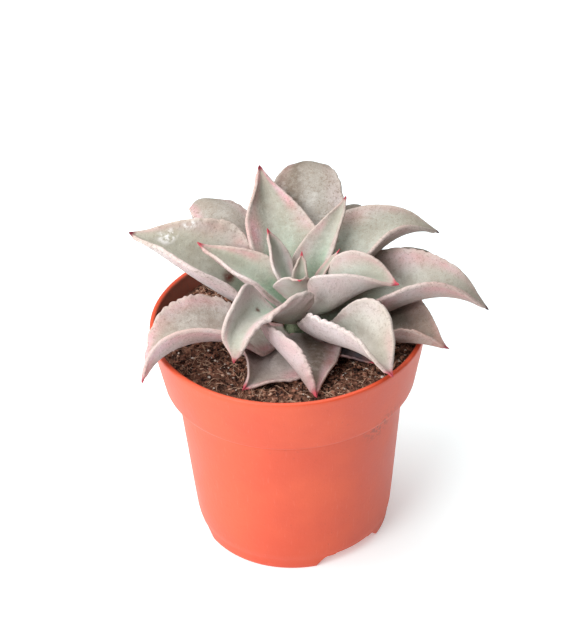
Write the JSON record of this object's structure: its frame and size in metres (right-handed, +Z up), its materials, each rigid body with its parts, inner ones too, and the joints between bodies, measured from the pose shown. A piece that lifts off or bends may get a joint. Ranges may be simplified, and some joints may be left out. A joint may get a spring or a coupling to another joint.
{
  "type": "potted echeveria",
  "caption": "Small succulent rosette of boat-shaped, wavy-edged grey-green leaves with rosy rims, in soil in a round terracotta-coloured nursery pot.",
  "frame": {"origin": "on the floor, under the middle of the whole plant's spread; the pot's axis stands 7.9 mm to -X and 8.3 mm to -Y of it", "axes": "+Z up; -Y the side that faces the picture's camera; +X to the picture's right"},
  "size_m": [0.1327, 0.1213, 0.1282],
  "materials": {
    "terracotta_plastic": "satin moulded plastic",
    "peat_soil": "rough, fibrous",
    "stem": "matte",
    "heart_leaf": "waxy matte bloom, green",
    "leaf": "waxy matte bloom, grey-green with rosy rims",
    "old_leaf": "waxy matte bloom, brownish and speckled"
  },
  "bodies": {
    "root": {"pot": "terracotta_plastic", "soil": "peat_soil", "stem": "stem", "heart_leaf_back": "heart_leaf", "heart_leaf_right": "heart_leaf", "heart_leaf_front": "heart_leaf", "heart_leaf_left": "heart_leaf", "inner_leaf_back": "leaf", "inner_leaf_left": "leaf", "inner_leaf_right": "leaf", "middle_leaf_back": "leaf", "middle_leaf_back_right": "leaf", "middle_leaf_left": "leaf", "middle_leaf_front_left": "leaf", "middle_leaf_front_right": "leaf", "outer_leaf_back": "leaf", "outer_leaf_back_left": "leaf", "outer_leaf_right": "leaf", "outer_leaf_front": "leaf", "outer_leaf_front_left": "leaf", "outer_leaf_front_right": "leaf", "low_leaf_far_right": "old_leaf", "low_leaf_back_right": "old_leaf", "low_leaf_front_left": "leaf", "withered_leaf": "old_leaf"}
  },
  "joints": []
}
